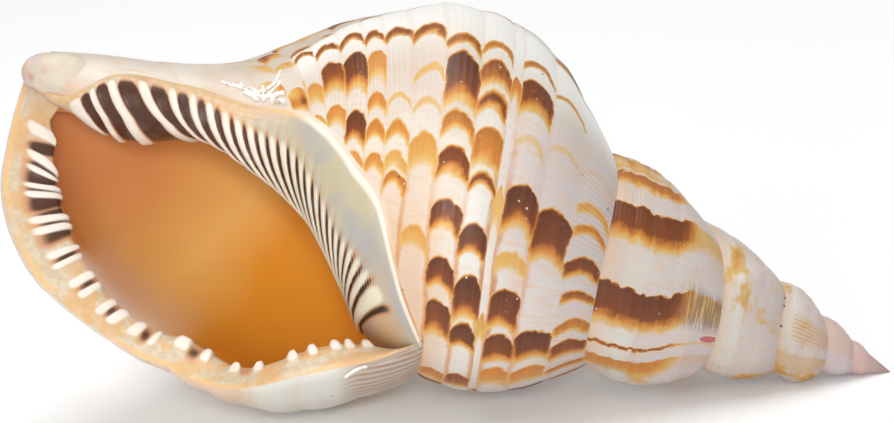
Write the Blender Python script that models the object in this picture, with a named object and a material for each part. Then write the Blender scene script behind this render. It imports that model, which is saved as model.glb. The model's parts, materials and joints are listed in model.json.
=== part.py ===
"""Triton shell: one coiled, hollow solid, lying on its belly with the aperture towards -Y."""

import math

import bpy
import numpy as np

# Every length below is in millimetres. "Turns" are counted back from the outer lip towards the apex.
LENGTH = 281.0
ROWS_PER_TURN = 36
LEAD_ROWS = 3  # growth lines run ahead by this many rows where they meet the suture
TURNS = 6.3
WHORL_COLUMNS = 10  # one column in every groove and on every crest of the spiral cords
BASE_COLUMNS = 20
LIP_AZIMUTH = -78.0  # degrees round the axis, 0 facing the viewer and 90 up

CORD_HEIGHT = 0.8
CORD_HEIGHT_PLACE = 110.5  # distance from the apex at which the cords are this high
LIP_TOOTH = 0.9
COLUMELLA_RIDGE = 0.9
PARIETAL_RISE = 1.5
PARIETAL_SINK = 6.0  # how deep the aperture dips into the covered whorl
CORNER = 0.15  # columns over which the lip's face turns along the covered whorl
CORNER_LIFT = 0.2

# How the shell lies on the ground: its axis dips to the apex, and the aperture looks forward and up.
AXIS_DIP = 23.7
AXIS_HEADING = -8.0
ROLL = -19.2

# The suture: (turns, distance from the apex, radius). Negative turns are the widest part of the last whorl.
SUTURE = [
    (-1.10, 216, 73.5), (-0.96, 206, 73), (-0.86, 198, 75), (-0.71, 186, 70), (-0.46, 167, 59.5),
    (-0.21, 148.5, 53.5), (-0.083, 138.5, 50), (0.04, 136, 48.5), (0.17, 129.5, 45.5), (0.29, 120.5, 42),
    (0.42, 110.5, 38), (0.54, 102.5, 34.5), (0.79, 95.5, 31.5), (1.04, 88, 28.5), (1.29, 80, 27), (1.54, 71, 25),
    (1.63, 63, 23), (1.79, 56.5, 20.5), (2.04, 54, 18), (2.29, 47.5, 16.5), (2.54, 40.5, 15), (2.79, 37, 13.3),
    (3.04, 32.5, 11.8), (3.29, 29, 10.6), (3.54, 25.3, 9.4), (3.79, 20.7, 8), (4.04, 19, 6.8),
    (4.54, 13.8, 5.4), (5.04, 10.2, 4.2), (5.54, 7.4, 3.3), (6.04, 5.2, 2.5), (6.5, 3.4, 1.9),
]
# How far a whorl swells beyond the straight line between its sutures, as a share of the apex distance.
SWELL = [
    (-0.1, 0.084), (0.03, 0.086), (0.13, 0.10), (0.3, 0.094), (0.54, 0.094), (1.04, 0.078),
    (1.54, 0.06), (2.04, 0.05), (2.54, 0.06), (3.04, 0.085), (6.5, 0.09),
]
# The last whorl below its widest part, down to the canal's end: at some turns, (distance from the apex, radius).
BASE = {
    -0.05: [(219, 73), (233.5, 70.5), (244, 67), (257, 61), (269, 50.5), (276, 38), (279, 26), (280.5, 15)],
    0.03: [(218, 72.5), (232, 69), (243, 65.5), (256, 59.5), (267.5, 49), (275.5, 37), (278.5, 25.5), (280.5, 14)],
    0.13: [(210, 73), (225, 69.5), (238, 63), (250, 54), (262, 43), (272, 32), (278, 22), (280.5, 13)],
    0.29: [(199, 67), (213, 61), (226, 51), (238, 39.5), (249.5, 30.5), (261.5, 23.5), (272, 17.5), (279, 11)],
    0.54: [(181.5, 52), (192, 45), (202.5, 34), (211, 25.5), (224, 20), (241, 15.5), (259.5, 12), (276, 8)],
    0.80: [(161, 46.5), (172, 40), (181.5, 32.5), (189.5, 26), (204.5, 20.5), (226, 16.5), (251, 13), (272.5, 8.5)],
    1.04: [(148.5, 45), (159, 39), (168.5, 32.5), (177, 26), (191.5, 20.5), (216.5, 16), (244, 13), (269.5, 8.5)],
}
# A growth line's lead over its straight radial plane: (column, share of LEAD_ROWS).
LEAD = [(0, 1), (0.15, 0.82), (0.3, 0.78), (0.45, 0.68), (0.6, 0.45), (0.75, 0.2), (0.9, 0.03), (1, 0)]
# Old lips left behind as thick ribs: (turns, height as a share of the apex distance).
VARICES = [
    (0.57, 0.038), (1.33, 0.05), (2.05, 0.06), (2.72, 0.065), (3.38, 0.065), (4.05, 0.065),
]

# The inner lip's outer edge, as turns at each base column, from the suture's corner to the canal.
SHIELD_EDGE = [
    (1.0, 33 / 36), (1.06, 0.865), (1.125, 0.80), (1.25, 0.755), (1.375, 0.71), (1.5, 0.678),
    (1.625, 0.672), (1.75, 0.645), (1.875, 0.68), (1.97, 0.84), (2.0, 0.86),
]
# Width of the outer lip's toothed face, from the suture's corner round to the canal.
LIP_FACE = [
    (0, 2), (0.1, 3.5), (0.2, 4.3), (0.35, 4.7), (0.5, 7.3), (0.7, 8), (0.9, 10), (1, 10), (1.125, 9.5),
    (1.25, 10), (1.375, 12.5), (1.5, 15), (1.625, 16), (1.75, 15.5), (1.875, 14), (2.0, 11),
]
# The columella's edge against the aperture: (column, distance from the apex, radius about its own middle).
COLUMELLA = [
    (1.0, 138, 49), (1.0625, 147.5, 46.5), (1.125, 155.5, 43), (1.25, 162, 36), (1.375, 169, 27),
    (1.5, 178.5, 18.5), (1.625, 196, 11.5), (1.75, 221, 9.5), (1.875, 244.5, 11.5), (2.0, 263.5, 7.5),
]
COLUMELLA_CORE = [(0, 0), (92, 4.3), (173, 9), (216, 9.6), (247, 11.4), (263, 8), (278, 6)]
# The columella bows away from the aperture: (distance from the apex, how far up its middle lies).
COLUMELLA_BOW = [
    (160, 0), (173, 0.3), (178, 1.2), (196, 4.6), (221, 8), (235, 4), (247, 1), (263, 0.6), (281, 0),
]
CANAL_THROAT = 268.0

# The rings that turn the lip inwards: (turns behind the lip, share of the lip's face, share of the shield).
LIP_RINGS = [
    (-0.003, 0.06, 0.03), (-0.002, 0.25, 0.12), (0.001, 0.5, 0.28), (0.005, 0.8, 0.48),
    (0.012, 1.0, 0.66), (0.022, 1.02, 0.84), (0.034, 0.95, 1.0),
]
# The hollow's rings behind them, in turns behind the lip.
HOLLOW_RINGS = [
    0.06, 0.095, 0.14, 0.19, 0.25, 0.31, 0.37, 0.43, 0.49, 0.55, 0.61, 0.68, 0.75, 0.82,
    0.89, 0.96, 1.03, 1.10, 1.18, 1.27, 1.36, 1.46, 1.56, 1.67, 1.78, 1.9, 2.02, 2.15,
]
# The hollow's far end at some turns, the share of the base it reaches, and the wall's thickness.
HOLLOW_END = [
    (0.03, 268), (0.12, 266), (0.2, 262), (0.3, 252), (0.42, 234), (0.54, 216), (0.66, 202),
    (0.79, 190), (1.04, 169), (1.3, 148), (1.54, 132), (1.8, 112), (2.04, 98), (2.3, 86),
]
HOLLOW_COVER = [
    (0.05, 1), (0.12, 0.97), (0.2, 0.92), (0.3, 0.8), (0.42, 0.62), (0.54, 0.5), (0.79, 0.45), (1.3, 0.45),
]
WALL = [(0.03, 5), (0.08, 4), (0.2, 3), (0.4, 2.6), (0.8, 2.4), (2.3, 2.4)]
# How the covered whorl's radius falls below its widest part, by the distance past it.
PARIETAL_FALL = [
    (0, 1), (0.082, 0.93), (0.14, 0.85), (0.18, 0.74), (0.23, 0.56), (0.3, 0.38), (0.4, 0.24), (0.6, 0.15), (1.2, 0.08),
]


def curve(points, x):
    """A smooth curve through the points, whose first value is the place along it."""
    points = np.array(points, float)
    places, values = points[:, 0], points[:, 1:]
    x = np.clip(np.asarray(x, float), places[0], places[-1])
    width = np.diff(places)[:, None]
    rise = np.diff(values, axis=0) / width
    slope = np.empty_like(values)
    slope[1:-1] = (rise[:-1] * width[1:] + rise[1:] * width[:-1]) / (width[1:] + width[:-1])
    slope[0], slope[-1] = rise[0], rise[-1]
    k = np.clip(np.searchsorted(places, x, side="right") - 1, 0, len(places) - 2)
    span = width[k]
    t = (x - places[k])[..., None] / span
    found = (2 * t**3 - 3 * t**2 + 1) * values[k] + (t**3 - 2 * t**2 + t) * span * slope[k]
    found += (3 * t**2 - 2 * t**3) * values[k + 1] + (t**3 - t**2) * span * slope[k + 1]
    return found[..., 0] if values.shape[1] == 1 else found


def ease(x, start, end):
    t = np.clip((np.asarray(x, float) - start) / (end - start), 0, 1)
    return t * t * (3 - 2 * t)


def suture(turns):
    """Distance from the apex and radius of the suture, which shrink evenly towards the apex."""
    points = np.array(SUTURE)
    points[:, 1:] = np.log(points[:, 1:])
    found = np.exp(curve(points, turns))
    return found[..., 0], found[..., 1]


def whorl_point(turns, across):
    """A point between the suture (0) and the whorl's widest part (1), where the next whorl's suture runs."""
    top, top_radius = suture(turns)
    low, low_radius = suture(turns - 1)
    swell = top * curve(SWELL, turns) * np.sin(np.pi * across)
    return top + (low - top) * across, top_radius + (low_radius - top_radius) * across + swell


def base_point(turns, along):
    """A point of the last whorl's base, from its widest part (0) to the canal's end (1)."""
    keys = sorted(BASE)
    flat = [[key] + [value for point in BASE[key] for value in point] for key in keys]
    net = curve(flat, turns).reshape(len(turns), -1, 2)
    before = np.stack(whorl_point(turns, np.full_like(turns, 0.86)), -1)[:, None]
    first = np.stack(whorl_point(turns, np.ones_like(turns)), -1)[:, None]
    beyond = 2 * net[:, -1:] - net[:, -2:-1]
    points = np.concatenate([before, first, net, beyond], axis=1)
    x = np.clip(along, 0, 1) * net.shape[1] + 1
    i = np.clip(np.floor(x).astype(int), 1, net.shape[1])
    f = (x - i)[:, None]
    row = np.arange(len(turns))
    a, b, c, d = points[row, i - 1], points[row, i], points[row, i + 1], points[row, i + 2]
    found = 0.5 * (2 * b + (c - a) * f + (2 * a - 5 * b + 4 * c - d) * f**2 + (3 * b - a - 3 * c + d) * f**3)
    return found[:, 0], found[:, 1]


def outer_point(turns, column):
    """Distance from the apex and radius of the outside. Columns 0 to 1 cross the whorl, 1 to 2 its base."""
    turns, column = np.broadcast_arrays(np.asarray(turns, float), np.asarray(column, float))
    along, radius = whorl_point(turns, np.clip(column, 0, 1))
    base = column > 1
    if base.any():
        along[base], radius[base] = base_point(turns[base], column[base] - 1)
    return along, radius


def inset_point(turns, column, depth):
    """The outside moved inwards by the depth."""
    step = 0.001
    along, radius = outer_point(turns, column)
    along_before, radius_before = outer_point(turns, np.maximum(column - step, 0))
    along_after, radius_after = outer_point(turns, np.minimum(column + step, 2))
    run, climb = along_after - along_before, radius_after - radius_before
    length = np.hypot(run, climb)
    return along + climb / length * depth, radius - run / length * depth


def place(along, radius, turns, lift=0.0):
    """Shell axes: X from the apex along the axis, Y to the viewer, Z up."""
    azimuth = np.radians(LIP_AZIMUTH - 360 * turns)
    return np.stack([along, radius * np.cos(azimuth), radius * np.sin(azimuth) + lift], -1)


def lead(column):
    return LEAD_ROWS / ROWS_PER_TURN * curve(LEAD, np.clip(column, 0, 1))


def varix(turns):
    """Height of the old lips, which rise steeply on their younger side."""
    height = np.zeros_like(turns)
    for at, share in VARICES:
        behind = turns - at
        height += share * np.exp(-((behind / np.where(behind < 0, 0.035, 0.055)) ** 2))
    return height


def crest(count):
    """1 on every second of the columns, 0 on those between."""
    return np.arange(count) % 2


def base_cords(columns):
    """Height of the spiral cords on the base, which fade towards the canal."""
    return CORD_HEIGHT * (2 - columns) * (np.round((columns - 1) * BASE_COLUMNS) % 2)


class Surface:
    """Points and faces of the closed surface."""

    def __init__(self):
        self.points = []
        self.faces = []

    def add(self, points):
        first = len(self.points)
        self.points.extend(tuple(point) for point in np.atleast_2d(points))
        return list(range(first, len(self.points)))

    def face(self, *corners):
        corners = list(dict.fromkeys(corners))
        self.faces.append(corners[::-1])

    def strip(self, first, second, closed=False):
        """Faces between two rows of points."""
        count = len(first) if closed else len(first) - 1
        for k in range(count):
            after = (k + 1) % len(first)
            self.face(first[k], second[k], second[after], first[after])


def whorl_rows(surface):
    """The spiral ribbon from lip to apex. Its lower edge is the next whorl's upper edge."""
    reach = ROWS_PER_TURN - LEAD_ROWS
    rows = int(TURNS * ROWS_PER_TURN) + 1
    columns = np.linspace(0, 1, WHORL_COLUMNS + 1)
    grid = []
    for row in range(rows):
        turns = row / ROWS_PER_TURN - lead(columns)
        along, radius = outer_point(turns, columns)
        size, _ = suture(turns)
        fade = np.sin(np.pi * columns) ** 0.6 if row >= reach else np.minimum(1, columns / 0.35)
        radius = radius + size * varix(np.full_like(columns, row / ROWS_PER_TURN)) * fade
        radius = radius + CORD_HEIGHT * size / CORD_HEIGHT_PLACE * crest(len(columns))
        points = place(along, radius, turns)
        if row < reach:
            grid.append(surface.add(points))
        else:
            grid.append(surface.add(points[:-1]) + [grid[row - reach][0]])
    for upper, lower in zip(grid, grid[1:]):
        surface.strip(upper, lower)
    ring = grid[-1] + [row[0] for row in grid[-reach:-1]]
    tip = surface.add([-1.2, 0, 0])[0]
    for k, corner in enumerate(ring):
        surface.face(corner, tip, ring[(k + 1) % len(ring)])
    return grid


def base_rows(surface, grid):
    """The last whorl's base and neck, from the lip round to the inner lip's edge."""
    reach = ROWS_PER_TURN - LEAD_ROWS
    columns = np.linspace(1, 2, BASE_COLUMNS + 1)
    edge = curve(SHIELD_EDGE, columns)
    rows = []
    for row in range(reach + 1):
        turns = edge * row / reach
        along, radius = outer_point(turns, columns)
        size, _ = suture(turns)
        radius = radius + size * varix(turns) * np.clip(1.7 - columns, 0, 1)
        radius = radius + base_cords(columns)
        points = place(along, radius, turns)
        rows.append([grid[row][-1]] + surface.add(points[1:]))
    for upper, lower in zip(rows, rows[1:]):
        surface.strip(upper, lower)
    end = surface.add([LENGTH + 0.5, 0, 0])[0]
    for upper, lower in zip(rows, rows[1:]):
        surface.face(upper[-1], lower[-1], end)
    return rows, end


def outer_lip_ring(ring, columns):
    """One ring of the outer lip's toothed face and of the hollow's outer wall."""
    face = curve(LIP_FACE, columns)
    if ring < len(LIP_RINGS):
        behind, share, _ = LIP_RINGS[ring]
        turns = behind - lead(columns) * (1 - ease(behind, 0, 0.2))
        teeth = LIP_TOOTH * ease(share, 0.2, 0.8) * crest(len(columns)) * ease(columns, 0.1, 0.3)
        along, radius = inset_point(turns, columns, face * share + teeth)
        _, outside = outer_point(turns, columns)
        corner = 1 - ease(columns, 0, CORNER)
        return along, radius + (outside + CORNER_LIFT - radius) * corner, turns
    behind = HOLLOW_RINGS[ring - len(LIP_RINGS)]
    turns = behind - lead(columns) * (1 - ease(behind, 0, 0.35))
    reached = np.where(columns > 1, 1 + (columns - 1) * curve(HOLLOW_COVER, behind), columns)
    wall = curve(WALL, behind)
    depth = wall + (face - wall) * 0.9 * (1 - ease(behind, 0.03, 0.14))
    depth *= 0.45 + 0.55 * np.clip(columns / 0.12, 0, 1)
    depth += PARIETAL_SINK * ease(behind, 0.7, 0.92) * ease(columns, 1, 1.25)
    along, radius = inset_point(turns, reached, depth)
    if behind > 1:
        base = columns > 1
        end = curve(HOLLOW_END, behind)
        start = along[~base][-1]
        along[base] = start + (end - start) * (columns[base] - 1)
        radius[base] = covered_radius(behind - 1, along[base]) - wall
    return along, radius, turns


def covered_radius(turns, along):
    """Radius of the earlier whorl and the columella where the later whorl covers them."""
    top, top_radius = suture(turns)
    parietal = top_radius * curve(PARIETAL_FALL, (along - top) / top)
    core = curve(COLUMELLA_CORE, along)
    return (parietal**4 + core**4) ** 0.25


def lip_shield_ring(ring, columns):
    """One ring of the inner lip, from its edge over the covered whorl to the columella's ridges."""
    behind, _, share = LIP_RINGS[ring]
    edge = curve(SHIELD_EDGE, columns)
    turns = edge + (1.03 - edge) * share
    along, radius = outer_point(edge, columns)
    radius = radius + base_cords(columns)
    found = curve(COLUMELLA, columns)
    fall = ease(share, 0.05, 1)
    rise = PARIETAL_RISE * math.sin(math.pi * min(4 * share, 0.5))
    ridges = COLUMELLA_RIDGE * ease(share, 0.4, 0.6) * crest(len(columns))
    inner_along = along + (found[:, 0] - along) * ease(share, 0.1, 1)
    inner_radius = (radius + rise) * (1 - fall) + found[:, 1] * fall + ridges
    points = place(inner_along, inner_radius, turns, curve(COLUMELLA_BOW, found[:, 0]) * fall)
    way = min(1, 1.6 * share)
    throat = place(LENGTH + 0.5 + (CANAL_THROAT - LENGTH - 0.5) * way, 6.8 * way, -0.02 + 0.05 * share)
    return throat, points


def hollow_inner_ring(ring, columns, outer_along, outer_radius):
    """One ring of the hollow's inner wall: the covered whorl and the columella."""
    behind = HOLLOW_RINGS[ring - len(LIP_RINGS)]
    top, _ = suture(behind)
    end = curve(HOLLOW_END, behind)
    found = curve(COLUMELLA, columns)
    share = (found[:, 0] - COLUMELLA[0][1]) / (CANAL_THROAT - COLUMELLA[0][1])
    along = top + 1.5 + (end - top - 1.5) * share
    radius = covered_radius(behind, along)
    near = 1 - ease(behind, 0.03, 0.12)
    radius = radius * (1 - near) + (found[:, 1] + COLUMELLA_RIDGE * crest(len(columns))) * near
    points = place(along, radius, np.full_like(along, behind), curve(COLUMELLA_BOW, along))
    middle = (outer_radius[-1] + radius[0]) / 2
    throat = place((outer_along[-1] + end) / 2 + 1.2, middle, behind, 0.5 * curve(COLUMELLA_BOW, end))
    return throat, points


def hollow(surface, grid, rows, end):
    """The lip's thickness and the hollow, as rings that follow each other from the lip to a blind end."""
    across = np.linspace(0, 1, WHORL_COLUMNS + 1)
    down = np.linspace(1, 2, BASE_COLUMNS + 1)[1:]
    lip_columns = np.concatenate([across, down])
    previous = grid[0] + rows[0][1:] + [end] + rows[-1][:0:-1]
    for ring in range(len(LIP_RINGS) + len(HOLLOW_RINGS)):
        along, radius, turns = outer_lip_ring(ring, lip_columns)
        if ring < len(LIP_RINGS):
            throat, inner = lip_shield_ring(ring, down[::-1])
        else:
            throat, inner = hollow_inner_ring(ring, down[::-1], along, radius)
        points = np.concatenate([place(along, radius, turns), throat[None], inner])
        current = surface.add(points)
        surface.strip(current, previous, closed=True)
        previous = current
    centre = surface.add(np.mean([surface.points[k] for k in previous], axis=0))[0]
    for k, corner in enumerate(previous):
        surface.face(corner, previous[(k + 1) % len(previous)], centre)


def lying(points):
    """Turns the shell to lie on the ground, with the origin under the middle of its box."""
    roll, dip, heading = (math.radians(angle) for angle in (ROLL, AXIS_DIP, AXIS_HEADING))
    x, y, z = (points * (-1, -1, 1)).T
    y, z = y * math.cos(roll) - z * math.sin(roll), y * math.sin(roll) + z * math.cos(roll)
    x, z = x * math.cos(dip) + z * math.sin(dip), -x * math.sin(dip) + z * math.cos(dip)
    x, y = x * math.cos(heading) - y * math.sin(heading), x * math.sin(heading) + y * math.cos(heading)
    turned = np.stack([x, y, z], -1)
    low, high = turned.min(axis=0), turned.max(axis=0)
    return turned - ((low[0] + high[0]) / 2, (low[1] + high[1]) / 2, low[2])


def shell_material():
    material = bpy.data.materials.new("shell")
    material.use_nodes = True
    principled = material.node_tree.nodes["Principled BSDF"]
    principled.inputs["Base Color"].default_value = (0.78, 0.62, 0.45, 1)
    principled.inputs["Roughness"].default_value = 0.35
    principled.inputs["Metallic"].default_value = 0.0
    return material


for old in list(bpy.data.objects):
    bpy.data.objects.remove(old)

body = Surface()
whorls = whorl_rows(body)
base, canal_end = base_rows(body, whorls)
hollow(body, whorls, base, canal_end)

mesh = bpy.data.meshes.new("shell")
mesh.from_pydata((lying(np.array(body.points)) / 1000).tolist(), [], body.faces)
mesh.materials.append(shell_material())
mesh.shade_smooth()
shell = bpy.data.objects.new("shell", mesh)
bpy.context.scene.collection.objects.link(shell)
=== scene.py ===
"""A triton shell lying on its side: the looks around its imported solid."""

import json
import math

import bpy
import numpy as np
from mathutils import Matrix, Vector

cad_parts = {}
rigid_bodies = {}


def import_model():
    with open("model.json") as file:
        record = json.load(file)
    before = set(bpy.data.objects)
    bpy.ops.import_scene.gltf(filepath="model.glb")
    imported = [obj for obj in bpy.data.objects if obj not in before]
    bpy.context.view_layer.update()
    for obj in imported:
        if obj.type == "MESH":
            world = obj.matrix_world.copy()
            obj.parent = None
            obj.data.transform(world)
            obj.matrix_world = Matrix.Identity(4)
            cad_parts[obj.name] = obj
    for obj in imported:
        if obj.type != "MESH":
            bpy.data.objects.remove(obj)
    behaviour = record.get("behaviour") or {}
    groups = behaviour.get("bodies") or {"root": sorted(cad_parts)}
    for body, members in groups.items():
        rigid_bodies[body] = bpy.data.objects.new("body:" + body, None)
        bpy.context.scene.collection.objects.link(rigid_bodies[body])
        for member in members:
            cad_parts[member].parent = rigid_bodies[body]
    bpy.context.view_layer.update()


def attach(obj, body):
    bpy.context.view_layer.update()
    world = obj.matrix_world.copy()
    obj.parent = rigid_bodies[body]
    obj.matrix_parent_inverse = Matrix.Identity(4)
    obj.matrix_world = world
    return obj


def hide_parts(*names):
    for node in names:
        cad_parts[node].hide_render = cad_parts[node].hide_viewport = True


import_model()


# The room: a plain white table top under soft daylight, and the camera that looks at the shell's mouth.
# The camera stands square to the shell's axis, a little above the table. The axis slopes down to the right.
# Angles are in degrees and the camera's place in millimetres on the shell's own axes.
AXIS_DIP = 23.7
AXIS_HEADING = -8.0
ROLL = -19.2
TIP = Vector((0.133394, -0.02819, 0.000094))  # where the shell's tip lies in the room
TIP_ALONG = -1.2
PICTURE_SLOPE = math.radians(19.26)
CAMERA_ALONG = 144.6
CAMERA_FRONT = 783.4
CAMERA_UP = 1.6
LENS = 102.1
SENSOR = 36.0
METRE = 1000.0  # in millimetres


def turn_to_lie(points):
    """Turns points from the shell's axes (X along it from the tip, Y to the viewer, Z up) to the room's."""
    roll, dip, heading = (math.radians(angle) for angle in (ROLL, AXIS_DIP, AXIS_HEADING))
    x, y, z = (np.asarray(points, float) * (-1, -1, 1)).T
    y, z = y * math.cos(roll) - z * math.sin(roll), y * math.sin(roll) + z * math.cos(roll)
    x, z = x * math.cos(dip) + z * math.sin(dip), -x * math.sin(dip) + z * math.cos(dip)
    x, y = x * math.cos(heading) - y * math.sin(heading), x * math.sin(heading) + y * math.cos(heading)
    return np.stack([x, y, z], -1)


def lying(points):
    """The points, in millimetres on the shell's axes, where they lie in the room, in metres."""
    tip = turn_to_lie([(TIP_ALONG, 0, 0)])[0]
    return (turn_to_lie(points) - tip) / METRE + np.array(TIP)


def deselect_all():
    for each in bpy.context.view_layer.objects:
        each.select_set(False)


deselect_all()
bpy.ops.mesh.primitive_plane_add(size=6, location=(0, 0, 0))
floor = bpy.context.active_object
floor.name = "floor"
floor_paint = bpy.data.materials.new("floor_white")
floor_paint.use_nodes = True
floor_shader = floor_paint.node_tree.nodes["Principled BSDF"]
floor_shader.inputs["Base Color"].default_value = (0.885, 0.89, 0.895, 1)
floor_shader.inputs["Roughness"].default_value = 0.6
floor_shader.inputs["Emission Color"].default_value = (1, 1, 1, 1)
floor_shader.inputs["Emission Strength"].default_value = 0.09
floor.data.materials.append(floor_paint)

run, rise = METRE * math.cos(PICTURE_SLOPE), METRE * math.sin(PICTURE_SLOPE)
camera_spot, ahead, picture_right, picture_up = lying([
    (CAMERA_ALONG, CAMERA_FRONT, CAMERA_UP),
    (CAMERA_ALONG, CAMERA_FRONT - METRE, CAMERA_UP),
    (CAMERA_ALONG - run, CAMERA_FRONT, CAMERA_UP + rise),
    (CAMERA_ALONG + rise, CAMERA_FRONT, CAMERA_UP + run),
])
camera_data = bpy.data.cameras.new("camera")
camera_data.lens = LENS
camera_data.sensor_width = SENSOR
camera_data.clip_start = 0.01
camera = bpy.data.objects.new("camera", camera_data)
bpy.context.scene.collection.objects.link(camera)
turned = Matrix((picture_right - camera_spot, picture_up - camera_spot, camera_spot - ahead)).transposed()
camera.matrix_world = Matrix.Translation(camera_spot) @ turned.to_4x4()
bpy.context.scene.camera = camera


def area_light(name, spot, aim, size, watts, spread=180):
    """A round light. A narrow spread, in degrees, keeps it to one place."""
    data = bpy.data.lights.new(name, "AREA")
    data.shape = "DISK"
    data.size = size
    data.energy = watts
    data.spread = math.radians(spread)
    light = bpy.data.objects.new(name, data)
    light.location = spot
    light.rotation_euler = (Vector(aim) - Vector(spot)).to_track_quat("-Z", "Y").to_euler()
    bpy.context.scene.collection.objects.link(light)


area_light("daylight_above", (-0.1, 0.1, 1.9), (0, 0, 0.05), 1.5, 22)
area_light("daylight_left", (-0.9, -0.8, 0.6), (-0.02, 0, 0.06), 0.6, 1.0)
area_light("daylight_front", (-0.25, -1.0, 0.25), (-0.06, 0, 0.06), 0.4, 1.8)
area_light("daylight_right", (0.9, -0.7, 0.5), (0, 0, 0.05), 0.6, 0.9)
area_light("light_in_mouth", (-0.03, -0.53, 0.27), (-0.066, 0, 0.052), 0.1, 0.05, 30)

world = bpy.data.worlds.new("white_room")
bpy.context.scene.world = world
world.use_nodes = True
world.node_tree.nodes["Background"].inputs["Color"].default_value = (1, 1, 1, 1)
world.node_tree.nodes["Background"].inputs["Strength"].default_value = 0.5
bpy.context.scene.view_settings.view_transform = "Standard"


# The shell: aragonite, grown in one piece by the snail at the edge of its mouth, so every line on it is
# a spiral that the edge drew as it went round, or the edge's own old place. It is hollow and lies loose.
# Lengths are in millimetres. Turns are counted back from the outer lip towards the tip. Columns run from the
# suture (0) to the whorl's widest part (1) and the canal (2), and on round the inner lip to its corner (3).
CANAL_END = 281.5
ROWS_PER_TURN = 144
LEAD_ROWS = 12  # growth lines run ahead by this many rows where they meet the suture
TURNS = 6.3
WHORL_COLUMNS = 48
BASE_COLUMNS = 70
FINE = 4  # the mouth's rings have this many points for each one of the outside
LIP_AZIMUTH = -78.0  # degrees round the axis, 0 facing the viewer and 90 up
# The grooves between the spiral cords, as columns. The fourth and seventh cords are the narrow ribs.
GROOVES = [
    0, 0.22, 0.43, 0.62, 0.665, 0.825, 1.0, 1.08, 1.15, 1.215, 1.29, 1.36, 1.43, 1.5, 1.58, 1.66, 1.75, 1.86,
    2.0,
]
CORD_HEIGHT = 0.8
CORD_HEIGHT_PLACE = 110.5  # distance from the tip at which the cords are this high
CORD_FULL_WIDTH = 0.15  # narrower cords, in columns, are lower
LIP_TOOTH = 1.5  # height of the ridges on the lip's face
COLUMELLA_RIDGE = 1.3
PARIETAL_RISE = 1.5  # how far the inner lip stands up from the whorl that it covers
PARIETAL_SINK = 6.0  # how much the hollow narrows where it passes behind the columella
CORNER = 0.15  # the lip closes on the suture over this much of a column
CORNER_LIFT = 0.2
CANAL_THROAT = 268.0  # distance from the tip at which the canal opens into the hollow
CANAL_RADIUS = 6.8
INNER_LIP_TURNS = 1.03  # where the inner lip turns into the mouth

# The suture: (turns, distance from the tip, radius). Negative turns are the widest part of the last whorl.
SUTURE = [
    (-1.1, 216, 73.5), (-0.96, 206, 73), (-0.86, 198, 75), (-0.71, 186, 70), (-0.46, 167, 59.5),
    (-0.21, 148.5, 53.5), (-0.083, 138.5, 50), (0.04, 136, 48.5), (0.17, 129.5, 45.5), (0.29, 120.5, 42),
    (0.42, 110.5, 38), (0.54, 102.5, 34.5), (0.79, 95.5, 31.5), (1.04, 88, 28.5), (1.29, 80, 27),
    (1.54, 71, 25), (1.63, 63, 23), (1.79, 56.5, 20.5), (2.04, 54, 18), (2.29, 47.5, 16.5), (2.54, 40.5, 15),
    (2.79, 37, 13.3), (3.04, 32.5, 11.8), (3.29, 29, 10.6), (3.54, 25.3, 9.4), (3.79, 20.7, 8),
    (4.04, 19, 6.8), (4.54, 13.8, 5.4), (5.04, 10.2, 4.2), (5.54, 7.4, 3.3), (6.04, 5.2, 2.5),
    (6.5, 3.4, 1.9),
]
# How far a whorl swells beyond the line between its sutures, as a share of the distance from the tip.
SWELL = [
    (-0.1, 0.084), (0.03, 0.086), (0.13, 0.1), (0.3, 0.094), (0.54, 0.094), (1.04, 0.078), (1.54, 0.06),
    (2.04, 0.05), (2.54, 0.06), (3.04, 0.085), (6.5, 0.09),
]
# The last whorl from its widest part down to the canal's end: (distance from the tip, radius) at some turns.
BASE = {
    -0.05: [(219, 73), (233.5, 70.5), (244, 67), (257, 61), (269, 50.5), (276, 38), (279, 26), (280.5, 15)],
    0.03: [
        (218, 72.5), (232, 69), (243, 65.5), (256, 59.5), (267.5, 49), (275.5, 37), (278.5, 25.5),
        (280.5, 14),
    ],
    0.13: [(210, 73), (225, 69.5), (238, 63), (250, 54), (262, 43), (272, 32), (278, 22), (280.5, 13)],
    0.29: [
        (199, 67), (213, 61), (226, 51), (238, 39.5), (249.5, 30.5), (261.5, 23.5), (272, 17.5), (279, 11),
    ],
    0.54: [(181.5, 52), (192, 45), (202.5, 34), (211, 25.5), (224, 20), (241, 15.5), (259.5, 12), (276, 8)],
    0.8: [
        (161, 46.5), (172, 40), (181.5, 32.5), (189.5, 26), (204.5, 20.5), (226, 16.5), (251, 13),
        (272.5, 8.5),
    ],
    1.04: [
        (148.5, 45), (159, 39), (168.5, 32.5), (177, 26), (191.5, 20.5), (216.5, 16), (244, 13), (269.5, 8.5),
    ],
}
BEFORE_BASE = 0.86  # the column that gives the base's curves their first direction
# A growth line's lead over its straight radial plane: (column, share of LEAD_ROWS).
LEAD = [(0, 1), (0.15, 0.82), (0.3, 0.78), (0.45, 0.68), (0.6, 0.45), (0.75, 0.2), (0.9, 0.03), (1, 0)]
# Old lips left behind as thick ribs: (turns, height as a share of the distance from the tip).
VARICES = [
    (0.57, 0.038), (1.33, 0.05), (2.05, 0.06), (2.72, 0.065), (3.38, 0.065), (4.05, 0.065),
]
VARIX_FRONT, VARIX_BACK = 0.035, 0.055  # how far a rib reaches to either side, in turns
# The inner lip's outer edge, as turns at each base column, from the suture's corner to the canal.
SHIELD_EDGE = [
    (1.0, 33 / 36), (1.06, 0.865), (1.125, 0.80), (1.25, 0.755), (1.375, 0.71), (1.5, 0.678),
    (1.625, 0.672), (1.75, 0.645), (1.875, 0.68), (1.97, 0.84), (2.0, 0.86),
]
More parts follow.
